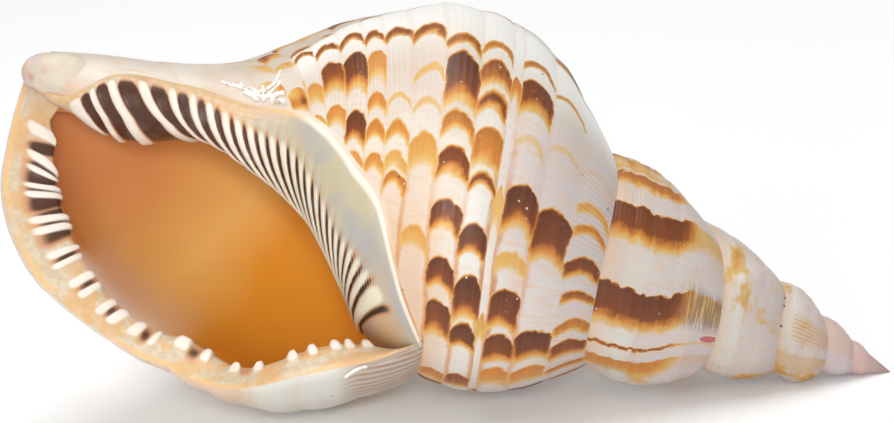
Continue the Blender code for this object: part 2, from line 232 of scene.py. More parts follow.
# Width of the outer lip's toothed face, from the suture's corner round to the canal.
LIP_FACE = [
    (0, 2), (0.1, 6), (0.2, 10), (0.35, 11.2), (0.5, 9.6), (0.7, 9), (0.9, 10.5), (1, 10.5), (1.125, 9.8),
    (1.25, 10), (1.375, 12.5), (1.5, 15), (1.625, 16), (1.75, 15.5), (1.875, 14), (2, 11),
]
# The columella's edge against the mouth: (column, distance from the tip, radius about its own middle).
COLUMELLA = [
    (1, 138, 49), (1.0625, 147.5, 46.5), (1.125, 155.5, 43), (1.25, 162, 36), (1.375, 169, 27),
    (1.5, 178.5, 18.5), (1.625, 196, 11.5), (1.75, 221, 9.5), (1.875, 244.5, 11.5), (2, 263.5, 7.5),
]
COLUMELLA_CORE = [(0, 0), (92, 4.3), (173, 9), (216, 9.6), (247, 11.4), (263, 8), (278, 6)]
# The columella bows away from the mouth: (distance from the tip, how far up its middle lies).
COLUMELLA_BOW = [
    (160, 0), (173, 0.3), (178, 1.2), (196, 4.6), (221, 8), (235, 4), (247, 1), (263, 0.6), (281, 0),
]
# How the lip turns inwards: (step, turns behind the lip, share of the lip's face, share of the inner lip).
LIP_TURN = [
    (0, -0.003, 0.06, 0.03), (1, -0.002, 0.25, 0.12), (2, 0.001, 0.5, 0.28), (3, 0.005, 0.8, 0.48),
    (4, 0.012, 1, 0.66), (5, 0.022, 1.02, 0.84), (6, 0.034, 0.95, 1),
]
LIP_RINGS = 40
LIP_FIRST = 0.15  # depth of the first ring
# White ridges in pairs across the outer lip's face: column at the lip's edge and at the far end, half width,
# and the depths where it starts and ends.
LIP_TEETH = [
    (1.978, 1.93, 0.024, 0.34, 0.86), (1.888, 1.8, 0.017, 0.36, 1.02), (1.842, 1.77, 0.014, 0.38, 1),
    (1.767, 1.705, 0.015, 0.36, 1.02), (1.73, 1.685, 0.014, 0.36, 0.97), (1.642, 1.61, 0.015, 0.34, 0.9),
    (1.606, 1.58, 0.014, 0.34, 0.86), (1.528, 1.503, 0.014, 0.36, 0.78), (1.49, 1.46, 0.013, 0.35, 0.76),
    (1.416, 1.392, 0.015, 0.36, 0.72), (1.376, 1.352, 0.015, 0.35, 0.7), (1.288, 1.265, 0.017, 0.35, 0.72),
    (1.24, 1.22, 0.017, 0.34, 0.7), (1.176, 1.162, 0.018, 0.38, 0.7), (1.108, 1.084, 0.018, 0.38, 0.68),
]
# Rounded white knobs at the throat of the lip's lower part: column and half width.
LIP_KNOBS = [
    (0.995, 0.024), (0.885, 0.024), (0.715, 0.026), (0.592, 0.024), (0.438, 0.021), (0.352, 0.019),
    (0.262, 0.019), (0.212, 0.015), (0.155, 0.016),
]
KNOB_PLACE = (0.42, 0.60, 0.80)  # depths where a knob starts, is highest and ends
KNOB_HEIGHT = 1.5  # times the height of a ridge
# Brown stains between the ridges: first and last column, depths where each starts and ends, and its strength.
LIP_STAINS = [
    (1.875, 1.925, 0.42, 0.86, 1), (1.66, 1.86, 0.42, 1.02, 1), (1.6, 1.66, 0.44, 0.92, 0.9),
    (1.55, 1.61, 0.42, 0.86, 0.8), (1.475, 1.515, 0.42, 0.76, 0.85), (1.362, 1.4, 0.42, 0.72, 0.8),
    (1.232, 1.27, 0.42, 0.7, 0.8), (1.12, 1.155, 0.42, 0.68, 0.85), (0.915, 0.965, 0.46, 0.68, 0.85),
    (0.625, 0.68, 0.48, 0.66, 0.6), (0.385, 0.41, 0.5, 0.66, 0.45),
]
STAIN_EDGE = 0.016
# Ridges across the inner lip, counted from the canal to the corner: column at the outer end and at the mouth.
LIRAE = [
    (2.063, 2.075), (2.09, 2.11), (2.126, 2.153), (2.184, 2.226), (2.243, 2.263), (2.283, 2.295),
    (2.313, 2.333), (2.345, 2.361), (2.37, 2.392), (2.401, 2.42), (2.43, 2.448), (2.461, 2.478),
    (2.496, 2.512), (2.537, 2.55), (2.58, 2.59), (2.62, 2.626), (2.658, 2.658), (2.69, 2.69), (2.722, 2.722),
    (2.757, 2.744), (2.798, 2.766), (2.845, 2.786), (2.88, 2.809), (2.902, 2.838), (2.919, 2.869),
]
LIRA_AFTER_LAST = 0.05  # columns from the last ridge to the end of their row
# Half width of a ridge, as a share of the room between two, by column.
LIRA_SHARE = [(2.0, 0.17), (2.27, 0.19), (2.36, 0.30), (3, 0.32)]
# How far over the inner lip the ridges start, by column.
LIRA_START = [
    (2, 0.05), (2.3, 0.06), (2.36, 0.09), (2.43, 0.13), (2.6, 0.17), (2.75, 0.24), (2.86, 0.22), (2.92, 0.12),
    (3, 0.12),
]
LIRA_REACH = 1.5  # the last ridges go on slanting beyond the mouth's edge
# The hollow's rings, in turns behind the lip, and by turns its far end, the share of the base that it reaches
# and the wall's thickness.
FINE_HOLLOW = (0.045, 0.06, 0.08, 0.1, 0.125, 0.15, 0.175)
HOLLOW_RINGS = 40
HOLLOW_DEPTH = 2.15
HOLLOW_FLOOR = 3.2  # depth given to the point that closes it
HOLLOW_END = [
    (0.03, 268), (0.12, 266), (0.2, 262), (0.3, 252), (0.42, 234), (0.54, 216), (0.66, 202), (0.79, 190),
    (1.04, 169), (1.3, 148), (1.54, 132), (1.8, 112), (2.04, 98), (2.3, 86),
]
HOLLOW_COVER = [
    (0.05, 1), (0.12, 0.97), (0.2, 0.92), (0.3, 0.8), (0.42, 0.62), (0.54, 0.5), (0.79, 0.45), (1.3, 0.45),
]
WALL = [(0.03, 5), (0.08, 4), (0.2, 3), (0.4, 2.6), (0.8, 2.4), (2.3, 2.4)]
# How the covered whorl's radius falls below its widest part, by the distance past it.
PARIETAL_FALL = [
    (0, 1), (0.082, 0.93), (0.14, 0.85), (0.18, 0.74), (0.23, 0.56), (0.3, 0.38), (0.4, 0.24), (0.6, 0.15),
    (1.2, 0.08),
]


def curve(points, x):
    """A smooth curve through the points, whose first value is the place along it."""
    points = np.array(points, float)
    places, values = points[:, 0], points[:, 1:]
    x = np.clip(np.asarray(x, float), places[0], places[-1])
    width = np.diff(places)[:, None]
    rise = np.diff(values, axis=0) / width
    slope = np.empty_like(values)
    slope[1:-1] = (rise[:-1] * width[1:] + rise[1:] * width[:-1]) / (width[1:] + width[:-1])
    slope[0], slope[-1] = rise[0], rise[-1]
    k = np.clip(np.searchsorted(places, x, side="right") - 1, 0, len(places) - 2)
    span = width[k]
    t = (x - places[k])[..., None] / span
    found = (2 * t**3 - 3 * t**2 + 1) * values[k] + (t**3 - 2 * t**2 + t) * span * slope[k]
    found += (3 * t**2 - 2 * t**3) * values[k + 1] + (t**3 - t**2) * span * slope[k + 1]
    return found[..., 0] if values.shape[1] == 1 else found


def ease(x, start, end):
    t = np.clip((np.asarray(x, float) - start) / (end - start), 0, 1)
    return t * t * (3 - 2 * t)


def suture(turns):
    """Distance from the tip and radius of the suture, which shrink evenly towards the tip."""
    points = np.array(SUTURE)
    points[:, 1:] = np.log(points[:, 1:])
    found = np.exp(curve(points, turns))
    return found[..., 0], found[..., 1]


def whorl_point(turns, across):
    """A point between the suture (0) and the whorl's widest part (1), where the next whorl's suture runs."""
    top, top_radius = suture(turns)
    low, low_radius = suture(turns - 1)
    swell = top * curve(SWELL, turns) * np.sin(np.pi * across)
    return top + (low - top) * across, top_radius + (low_radius - top_radius) * across + swell


def base_point(turns, along):
    """A point of the last whorl's base, from its widest part (0) to the canal's end (1)."""
    keys = sorted(BASE)
    flat = [[key] + [value for point in BASE[key] for value in point] for key in keys]
    net = curve(flat, turns).reshape(len(turns), -1, 2)
    before = np.stack(whorl_point(turns, np.full_like(turns, BEFORE_BASE)), -1)[:, None]
    first = np.stack(whorl_point(turns, np.ones_like(turns)), -1)[:, None]
    beyond = 2 * net[:, -1:] - net[:, -2:-1]
    points = np.concatenate([before, first, net, beyond], axis=1)
    x = np.clip(along, 0, 1) * net.shape[1] + 1
    i = np.clip(np.floor(x).astype(int), 1, net.shape[1])
    f = (x - i)[:, None]
    row = np.arange(len(turns))
    a, b, c, d = points[row, i - 1], points[row, i], points[row, i + 1], points[row, i + 2]
    found = 0.5 * (2 * b + (c - a) * f + (2 * a - 5 * b + 4 * c - d) * f**2 + (3 * b - a - 3 * c + d) * f**3)
    return found[:, 0], found[:, 1]


def outer_point(turns, column):
    """Distance from the tip and radius of the outside. Columns 0 to 1 cross the whorl, 1 to 2 its base."""
    turns, column = np.broadcast_arrays(np.asarray(turns, float), np.asarray(column, float))
    along, radius = whorl_point(turns, np.clip(column, 0, 1))
    base = column > 1
    if base.any():
        along[base], radius[base] = base_point(turns[base], column[base] - 1)
    return along, radius


def inset_point(turns, column, depth):
    """The outside moved inwards by the depth."""
    step = 0.001
    along, radius = outer_point(turns, column)
    along_before, radius_before = outer_point(turns, np.maximum(column - step, 0))
    along_after, radius_after = outer_point(turns, np.minimum(column + step, 2))
    run, climb = along_after - along_before, radius_after - radius_before
    length = np.hypot(run, climb)
    return along + climb / length * depth, radius - run / length * depth


def place(along, radius, turns, lift=0.0):
    """Shell axes: X from the tip along the axis, Y to the viewer, Z up."""
    azimuth = np.radians(LIP_AZIMUTH - 360 * turns)
    return np.stack([along, radius * np.cos(azimuth), radius * np.sin(azimuth) + lift], -1)


def lead(column):
    """Turns by which a growth line runs ahead."""
    return LEAD_ROWS / ROWS_PER_TURN * curve(LEAD, np.clip(column, 0, 1))


def varix(turns):
    """Height of the old lips, which rise steeply on their younger side."""
    height = np.zeros_like(turns)
    for at, share in VARICES:
        behind = turns - at
        height += share * np.exp(-((behind / np.where(behind < 0, VARIX_FRONT, VARIX_BACK)) ** 2))
    return height


def cord_number(columns):
    """Counts the cords from the suture: whole numbers are the grooves."""
    return np.interp(columns, GROOVES + [3], range(len(GROOVES) + 1))


def relief(columns, size):
    """Height of the outside's broad cords over its plain form, with narrow grooves between them."""
    number = cord_number(columns)
    width = np.interp(number, np.arange(len(GROOVES) - 1) + 0.5, np.diff(GROOVES))
    height = CORD_HEIGHT * np.minimum(1, width / CORD_FULL_WIDTH) * np.abs(np.sin(math.pi * number)) ** 0.5
    return height * np.where(columns <= 1, size / CORD_HEIGHT_PLACE, 2 - columns)


class Skin:
    """Points, faces and markings of the shell's closed surface. Growth is a UV map, as (turns, column)."""

    def __init__(self):
        self.points = []
        self.depth = []
        self.ridge = []
        self.stain = []
        self.faces = []
        self.growth = []

    def add(self, points, depth=0.0, ridge=0.0, stain=0.0):
        points = np.atleast_2d(points)
        first = len(self.points)
        self.points.extend(points.tolist())
        for kept, values in ((self.depth, depth), (self.ridge, ridge), (self.stain, stain)):
            kept.extend(np.broadcast_to(values, len(points)).tolist())
        return list(range(first, len(self.points)))

    def face(self, *corners):
        """Each corner is (point, (turns, column)). Repeated points drop out."""
        kept = list({corner[0]: corner for corner in corners}.values())[::-1]
        if len(kept) > 2:
            self.faces.append([point for point, _ in kept])
            self.growth.extend(spot for _, spot in kept)

    def strip(self, first, second, closed=False):
        """Faces between two rows, each a list of corners."""
        count = len(first) if closed else len(first) - 1
        for k in range(count):
            after = (k + 1) % len(first)
            self.face(first[k], second[k], second[after], first[after])

    def widen(self, coarse, fine, turned=False):
        """Faces from a closed row to one with FINE times as many points, turned if the fine one is first."""
        middle = FINE // 2
        for k, corner in enumerate(coarse):
            after = coarse[(k + 1) % len(coarse)]
            steps = [fine[(FINE * k + step) % len(fine)] for step in range(FINE + 1)]
            fan = [(steps[step], corner if step < middle else after, steps[step + 1]) for step in range(FINE)]
            fan.insert(middle, (steps[middle], corner, after))
            for three in fan:
                self.face(*(three[::-1] if turned else three))


def corners(points, turns, columns):
    return list(zip(points, zip(np.broadcast_to(turns, len(points)).tolist(), np.asarray(columns).tolist())))


def whorl_rows(skin):
    """The spiral ribbon from lip to tip. Its lower edge is the next whorl's upper edge."""
    reach = ROWS_PER_TURN - LEAD_ROWS
    rows = int(TURNS * ROWS_PER_TURN) + 1
    columns = np.linspace(0, 1, WHORL_COLUMNS + 1)
    grid = []
    lines = []
    for row in range(rows):
        turns = row / ROWS_PER_TURN - lead(columns)
        size, _ = suture(turns)
        fade = np.sin(np.pi * columns) ** 0.6 if row >= reach else np.minimum(1, columns / 0.35)
        old_lip = varix(np.full_like(columns, row / ROWS_PER_TURN)) * fade
        height = size * old_lip + relief(columns, size)
        along, radius = inset_point(turns, columns, -height)
        if row >= reach:
            along[-1], radius[-1] = outer_point(turns[-1], columns[-1])
        points = place(along, radius, turns)
        if row < reach:
            grid.append(skin.add(points))
        else:
            grid.append(skin.add(points[:-1]) + [grid[row - reach][0]])
        lines.append(corners(grid[-1], turns, columns))
    for upper, lower in zip(lines, lines[1:]):
        skin.strip(upper, lower)
    ring = lines[-1] + [line[0] for line in lines[-reach:-1]]
    tip = skin.add([TIP_ALONG, 0, 0])[0]
    for k, corner in enumerate(ring):
        skin.face(corner, (tip, corner[1]), ring[(k + 1) % len(ring)])
    return grid


def base_rows(skin, grid):
    """The last whorl's base and neck, from the lip round to the inner lip's edge."""
    reach = ROWS_PER_TURN - LEAD_ROWS
    columns = np.linspace(1, 2, BASE_COLUMNS + 1)
    edge = curve(SHIELD_EDGE, columns)
    rows = []
    for row in range(reach + 1):
        turns = edge * row / reach
        size, _ = suture(turns)
        height = size * varix(turns) * np.clip(1.7 - columns, 0, 1) + relief(columns, size)
        along, radius = inset_point(turns, columns, -height)
        points = place(along, radius, turns)
        rows.append(corners([grid[row][-1]] + skin.add(points[1:]), turns, columns))
    for upper, lower in zip(rows, rows[1:]):
        skin.strip(upper, lower)
    end = skin.add([CANAL_END, 0, 0])[0]
    for upper, lower in zip(rows, rows[1:]):
        skin.face(upper[-1], lower[-1], (end, upper[-1][1]))
    return rows, (end, (0.5, 2.0))


def teeth(columns, place_across):
    """Height of the outer lip's ridges, 0 to 1, at a place between the lip's edge and the throat."""
    height = np.zeros_like(columns)
    for edge, inner, half_width, start, end in LIP_TEETH:
        way = (place_across - start) / (end - start)
        middle = edge + (inner - edge) * min(max(way, 0), 1)
        there = ease(way, -0.12, 0.2) * (1 - ease(way, 0.85, 1.12))
        height = np.maximum(height, there * np.exp(-(((columns - middle) / half_width) ** 2)))
    start, top, end = KNOB_PLACE
    knob = KNOB_HEIGHT * ease(place_across, start, top) * (1 - ease(place_across, top, end))
    for middle, half_width in LIP_KNOBS:
        height = np.maximum(height, knob * np.exp(-(((columns - middle) / half_width) ** 4)))
    return height


def lip_stain(columns, place_across):
    strength = np.zeros_like(columns)
    for first, last, start, end, most in LIP_STAINS:
        beside = ease(columns, first - STAIN_EDGE, first + STAIN_EDGE)
        beside = beside * (1 - ease(columns, last - STAIN_EDGE, last + STAIN_EDGE))
        there = ease(place_across, start - 0.12, start + 0.12)
        there = there * (1 - ease(place_across, end - 0.16, end + 0.10))
        strength = np.maximum(strength, most * beside * there)
    return strength


def lirae(columns, share):
    """The inner lip's ridges and the dark stain between them, both 0 to 1."""
    counted = 4 - columns
    way = min(max((share - 0.1) / 0.4, 0), LIRA_REACH)
    ways = [way if inner < outer else min(way, 1) for outer, inner in LIRAE]
    middles = [outer + (inner - outer) * there for (outer, inner), there in zip(LIRAE, ways)]
    number = np.interp(counted, middles + [middles[-1] + LIRA_AFTER_LAST], range(len(LIRAE) + 1))
    from_middle = np.abs(number - np.round(number))
    start = np.interp(counted, *zip(*LIRA_START))
    begun = ease((share - start) / 0.16, -0.1, 1)
    past_last = number - (len(LIRAE) - 1)
    inside = ease(counted, LIRAE[0][0] - 0.03, LIRAE[0][0]) * (1 - ease(past_last, 0.45, 0.6))
    half_width = np.interp(counted, *zip(*LIRA_SHARE))
    ridge = np.exp(-((from_middle / half_width) ** 4)) * begun * inside
    widest = 0.5 - (0.5 - half_width) * (0.35 + 0.65 * begun)
    gap = ease(from_middle, widest - 0.04, widest + 0.06)
    return ridge, gap * ease(begun, 0.0, 0.9) * inside


def lip_depth(progress):
    """0 at the outside's edge, 1 at the throat."""
    return LIP_FIRST + (1 - LIP_FIRST) * progress / LIP_TURN[-1][0]


def outer_lip_ring(progress, columns):
    """One ring of the outer lip's toothed face: distance, radius, turns and how much of a tooth is there."""
    face = curve(LIP_FACE, columns)
    behind, share, _ = curve(LIP_TURN, progress)
    turns = behind - lead(columns) * (1 - ease(behind, 0, 0.2))
    tooth = teeth(columns, lip_depth(progress))
    along, radius = inset_point(turns, columns, face * share + LIP_TOOTH * tooth)
    _, outside = outer_point(turns, columns)
    corner = 1 - ease(columns, 0, CORNER)
    return along, radius + (outside + CORNER_LIFT - radius) * corner, turns, tooth


def hollow_ring(behind, columns):
    """One ring of the hollow's outer wall."""
    face = curve(LIP_FACE, columns)
    turns = behind - lead(columns) * (1 - ease(behind, 0, 0.35))
    reached = np.where(columns > 1, 1 + (columns - 1) * curve(HOLLOW_COVER, behind), columns)
    wall = curve(WALL, behind)
    depth = wall + (face - wall) * 0.9 * (1 - ease(behind, 0.03, 0.14))
    depth *= 0.45 + 0.55 * np.clip(columns / 0.12, 0, 1)
    depth += PARIETAL_SINK * ease(behind, 0.7, 0.92) * ease(columns, 1, 1.25)
    tooth = teeth(columns, 1 + behind)
    along, radius = inset_point(turns, reached, depth + LIP_TOOTH * tooth)
    if behind > 1:
        base = columns > 1
        end = curve(HOLLOW_END, behind)
        start = along[~base][-1]
        along[base] = start + (end - start) * (columns[base] - 1)
        radius[base] = covered_radius(behind - 1, along[base]) - wall
    return along, radius, turns, tooth


def covered_radius(turns, along):
    """Radius of the earlier whorl and the columella where the later whorl covers them."""
    top, top_radius = suture(turns)
    parietal = top_radius * curve(PARIETAL_FALL, (along - top) / top)
    core = curve(COLUMELLA_CORE, along)
    return (parietal**4 + core**4) ** 0.25


def inner_lip_ring(progress, columns):
    """One ring of the inner lip, from its edge over the covered whorl to the columella's ridges."""
    behind, _, share = curve(LIP_TURN, progress)
    edge = curve(SHIELD_EDGE, columns)
    turns = edge + (INNER_LIP_TURNS - edge) * share
    size, _ = suture(edge)
    along, radius = inset_point(edge, columns, -relief(columns, size))
    found = curve(COLUMELLA, columns)
    fall = ease(share, 0.05, 1)
    rise = PARIETAL_RISE * math.sin(math.pi * min(4 * share, 0.5))
    ridge, stain = lirae(columns, share)
    inner_along = along + (found[:, 0] - along) * ease(share, 0.1, 1)
    inner_radius = (radius + rise) * (1 - fall) + found[:, 1] * fall + COLUMELLA_RIDGE * ridge
    points = place(inner_along, inner_radius, turns, curve(COLUMELLA_BOW, found[:, 0]) * fall)
    way = min(1, 1.6 * share)
    throat = place(CANAL_END + (CANAL_THROAT - CANAL_END) * way, CANAL_RADIUS * way, -0.02 + 0.05 * share)
    return throat, points, turns, ridge, stain


def hollow_inner_ring(behind, columns, outer_along, outer_radius):
    """One ring of the hollow's inner wall: the covered whorl and the columella."""
    top, _ = suture(behind)
    end = curve(HOLLOW_END, behind)
    found = curve(COLUMELLA, columns)
    share = (found[:, 0] - COLUMELLA[0][1]) / (CANAL_THROAT - COLUMELLA[0][1])
    along = top + 1.5 + (end - top - 1.5) * share
    radius = covered_radius(behind, along)
    near = 1 - ease(behind, 0.03, 0.12)
    ridge, stain = lirae(columns, 1)
    ridge = ridge * near
    radius = radius * (1 - near) + (found[:, 1] + COLUMELLA_RIDGE * ridge) * near
    points = place(along, radius, np.full_like(along, behind), curve(COLUMELLA_BOW, along))
    middle = (outer_radius[-1] + radius[0]) / 2
    throat = place((outer_along[-1] + end) / 2 + 1.2, middle, behind, 0.5 * curve(COLUMELLA_BOW, end))
    return throat, points, ridge, stain * near


def join_walls(outer, throat, inner, times):
    """A ring's points: the outer wall, the canal's throat with some points between, and the inner wall."""
    steps = np.arange(1, times)[:, None] / times
    to_throat, from_throat = outer[-1] + (throat - outer[-1]) * steps, throat + (inner[0] - throat) * steps
    return np.concatenate([outer, to_throat, throat[None], from_throat, inner])


def ring_values(outer, inner, times):
    """Values for the same points, with 0 in the canal's throat."""
    return np.concatenate([outer, np.zeros(2 * times - 1), inner])


def ring_columns(times):
    """Columns of a ring's outer wall, of its inner wall, and of the growth map all the way round."""
    down = np.linspace(1, 2, times * BASE_COLUMNS + 1)[1:]
    outer = np.concatenate([np.linspace(0, 1, times * WHORL_COLUMNS + 1), down])
    return outer, down[::-1], np.concatenate([outer, np.full(2 * times - 1, 2), 4 - down[::-1]])


def mouth(skin, grid, rows, end):
    """The lip's thickness, as rings that follow each other from the lip's edge to the throat."""
    outer_columns, inner_columns, all_round = ring_columns(FINE)
    inner_rim = [(point, (turns, 4 - column)) for point, (turns, column) in rows[-1][:0:-1]]
    rim = corners(grid[0], 0, np.linspace(0, 1, WHORL_COLUMNS + 1)) + rows[0][1:] + [end] + inner_rim
    previous = None
    for progress in np.linspace(0, LIP_TURN[-1][0], LIP_RINGS):
        along, radius, turns, tooth = outer_lip_ring(progress, outer_columns)
        throat, inner, inner_turns, ridge, gap = inner_lip_ring(progress, inner_columns)
        points = join_walls(place(along, radius, turns), throat, inner, FINE)
        depth = lip_depth(progress)
        stain = ring_values(lip_stain(outer_columns, depth), gap, FINE)
        added = skin.add(points, depth, ring_values(tooth, ridge, FINE), stain)
        current = corners(added, ring_values(turns, inner_turns, FINE), all_round)
        if previous is None:
            skin.widen(rim, current)
        else:
            skin.strip(current, previous, closed=True)
        previous = current
    return previous


def hollow_line(skin, behind, times):
    """One ring of the hollow, with that many points for each one of the outside."""
    outer_columns, inner_columns, all_round = ring_columns(times)
    along, radius, turns, tooth = hollow_ring(behind, outer_columns)
    throat, inner, ridge, gap = hollow_inner_ring(behind, inner_columns, along, radius)
    points = join_walls(place(along, radius, turns), throat, inner, times)
    stain = ring_values(lip_stain(outer_columns, 1 + behind), gap, times)
    added = skin.add(points, 1 + behind, ring_values(tooth, ridge, times), stain)
    return corners(added, np.full(len(points), behind), all_round)


def fill_hollow(skin, previous):
    """The hollow behind the throat, closed at its far end."""
    for behind in FINE_HOLLOW:
        current = hollow_line(skin, behind, FINE)
        skin.strip(current, previous, closed=True)
        previous = current
    start = FINE_HOLLOW[-1] + 0.02
    for ring, step in enumerate(np.linspace(0, 1, HOLLOW_RINGS)):
        current = hollow_line(skin, start + (HOLLOW_DEPTH - start) * step ** 1.1, 1)
        if ring:
            skin.strip(current, previous, closed=True)
        else:
            skin.widen(current, previous, turned=True)
        previous = current
    centre = skin.add(np.mean([skin.points[point] for point, _ in previous], axis=0), HOLLOW_FLOOR)[0]
    for k, corner in enumerate(previous):
        skin.face(corner, previous[(k + 1) % len(previous)], (centre, corner[1]))


class Paint:
    """A material being mixed: every node comes from node(), and Values take part in plain sums."""

    def __init__(self, name):
        self.material = bpy.data.materials.new(name)
        self.material.use_nodes = True
        self.shader = self.material.node_tree.nodes["Principled BSDF"]

    def node(self, kind, settings, sockets, output=0):
        made = self.material.node_tree.nodes.new("ShaderNode" + kind)
        for name, setting in settings.items():
            if name == "stops":
                self.fill_ramp(made.color_ramp, setting)
            else:
                setattr(made, name, setting)
        self.feed(made, sockets)
        return Value(self, made.outputs[output])

    def feed(self, made, sockets):
        """Links or sets a node's sockets, given by name or number. A tuple is a colour."""
        for name, value in sockets.items():
            if isinstance(value, Value):
                self.material.node_tree.links.new(value.socket, made.inputs[name])
            else:
                made.inputs[name].default_value = (*value, 1) if isinstance(value, tuple) else value

    def fill_ramp(self, ramp, stops):
        """Each stop is a place and a colour, or a place and one number."""
        for extra in stops[2:]:
            ramp.elements.new(extra[0])
        for element, (spot, tone) in zip(ramp.elements, stops):
            element.position = spot
            element.color = (*tone, 1) if isinstance(tone, tuple) else (tone, tone, tone, 1)

    def mix(self, share, first, second):
        """The second colour over the first one."""
        return self.node("Mix", {"data_type": "RGBA"}, {0: share, 6: first, 7: second}, 2)

    def layers(self, first, *over):
        """A colour with others over it, each given as its share and its colour."""
        for share, colour in over:
            first = self.mix(share, first, colour)
        return first

    def object_place(self):
        return self.node("TexCoord", {}, {}, "Object")

    def vector(self, x, y, z=0.0):
        return self.node("CombineXYZ", {}, {"X": x, "Y": y, "Z": z})

    def noise(self, vector, scale, detail=2.0, roughness=0.5):
        sockets = {"Vector": vector, "Scale": scale, "Detail": detail, "Roughness": roughness}
        return self.node("TexNoise", {}, sockets)

    def cells(self, vector, scale):
        """Distance from the nearest of some scattered points."""
        return self.node("TexVoronoi", {}, {"Vector": vector, "Scale": scale})

    def chance(self, first, second):
        """A random number from 0 to 1, the same wherever both values are the same."""
        return self.node("TexWhiteNoise", {"noise_dimensions": "2D"}, {"Vector": self.vector(first, second)})

    def attribute(self, name):
        return self.node("Attribute", {"attribute_name": name}, {}, 2)


class Value:
    """A socket that Python's own sums add Math nodes to."""

    def __init__(self, paint, socket):
        self.paint = paint
        self.socket = socket

    def math(self, operation, *parts):
        return self.paint.node("Math", {"operation": operation}, dict(enumerate(parts)))

    def __add__(self, other):
        return self.math("ADD", self, other)

    def __sub__(self, other):
        return self.math("SUBTRACT", self, other)

    def __rsub__(self, other):
        return self.math("SUBTRACT", other, self)

    def __mul__(self, other):
        return self.math("MULTIPLY", self, other)

    def __truediv__(self, other):
        return self.math("DIVIDE", self, other)

    __radd__ = __add__
    __rmul__ = __mul__

    def __abs__(self):
        return self.math("ABSOLUTE", self)

    def floor(self):
        return self.math("FLOOR", self)

    def fraction(self):
        return self.math("FRACT", self)

    def wave(self, per_unit):
        """A wave from -1 to 1 that many times for each 1 of the value."""
        return self.math("SINE", self * (per_unit * 2 * math.pi))

    def above(self, edge):
        return self.math("GREATER_THAN", self, edge)

    def most(self, other):
        return self.math("MAXIMUM", self, other)

    def least(self, other):
        return self.math("MINIMUM", self, other)

    def ease(self, start, end):
        """0 up to the start, 1 from the end, smooth between. The start may be the higher one."""
        sockets = {"Value": self, "From Min": start, "From Max": end}
        return self.paint.node("MapRange", {"interpolation_type": "SMOOTHSTEP"}, sockets)

    def within(self, start, full, fading, end):
        """1 between full and fading, smooth down to 0 at the start and the end."""
        return self.ease(start, full) * self.ease(end, fading)

    def ramp(self, *stops):
        return self.paint.node("ValToRGB", {"stops": stops}, {0: self})


# The shell's colours, as light reflected in red, green and blue. First the outside's ground.
CREAM = (0.57, 0.50, 0.39)
CHALK = (0.65, 0.62, 0.565)
# A painted highlight: the top of the last whorl on the mouth's side, whitened as if by the light from above.
PAINTED_HIGHLIGHT_WHITE = (0.83, 0.82, 0.79)
LILAC = (0.54, 0.475, 0.475)
PEACH = (0.64, 0.40, 0.235)
RIB_LINE = (0.46, 0.21, 0.07)
LIP_OUTSIDE_WHITE = (0.56, 0.54, 0.49)
LIP_OUTSIDE_PEACH = (0.60, 0.38, 0.22)
# Brown by the suture on the lip's outside, with stripes across it that are painted shade of the wrinkles'
# folds.
WRINKLE_BROWN_AND_SHADE = (0.30, 0.16, 0.08)
# The marks, from faint to dark, and the spire's own places.
YELLOW_OCHRE = (0.60, 0.36, 0.10)
ORANGE = (0.54, 0.20, 0.03)
BROWN = (0.205, 0.050, 0.008)
DARK_BROWN = (0.080, 0.024, 0.009)
RIBBED_OCHRE = (0.56, 0.30, 0.09)
DIRT = (0.20, 0.12, 0.08)
SCAR_PINK = (0.50, 0.13, 0.13)
APEX_LILAC = (0.58, 0.49, 0.50)
APEX_PINK = (0.64, 0.42, 0.38)
APEX_ORANGE = (0.66, 0.36, 0.16)
# The lip's face and the inner lip.
FACE_TAN = (0.52, 0.42, 0.28)
FACE_CREAM = (0.58, 0.49, 0.37)
FACE_ORANGE = (0.60, 0.33, 0.12)
FACE_EDGE = (0.70, 0.42, 0.18)
SHIELD_BROWN = (0.36, 0.325, 0.275)
SHIELD_OLIVE = (0.43, 0.37, 0.25)
SHIELD_GREY = (0.34, 0.325, 0.33)
CORNER_TAN = (0.55, 0.34, 0.17)
RIM_ORANGE = (0.72, 0.47, 0.22)
RIM_WHITE = (0.70, 0.64, 0.54)
TOOTH_WHITE = (0.72, 0.64, 0.56)
LIRA_CREAM = (0.64, 0.59, 0.46)
STAIN_HALO = (0.52, 0.25, 0.12)
STAIN_BROWN = (0.065, 0.022, 0.010)
STAIN_GREY = (0.20, 0.19, 0.22)
NAVY = (0.018, 0.020, 0.030)
BROWN_BLACK = (0.030, 0.011, 0.007)
# The hollow.
DEEP_ORANGE = (0.82, 0.34, 0.035)
GOLD = (0.86, 0.50, 0.14)
HOLLOW_TAN = (0.78, 0.40, 0.12)
RED_BROWN = (0.68, 0.28, 0.10)
# A pale band just inside the outer lip, lightened nearly to white as painted light where the lip shades it.
PALE_BAND_PAINTED_LIGHT = (0.98, 0.88, 0.80)
# Painted shade: a darker orange deeper into the hollow.
HOLLOW_PAINTED_SHADE = (0.62, 0.25, 0.06)

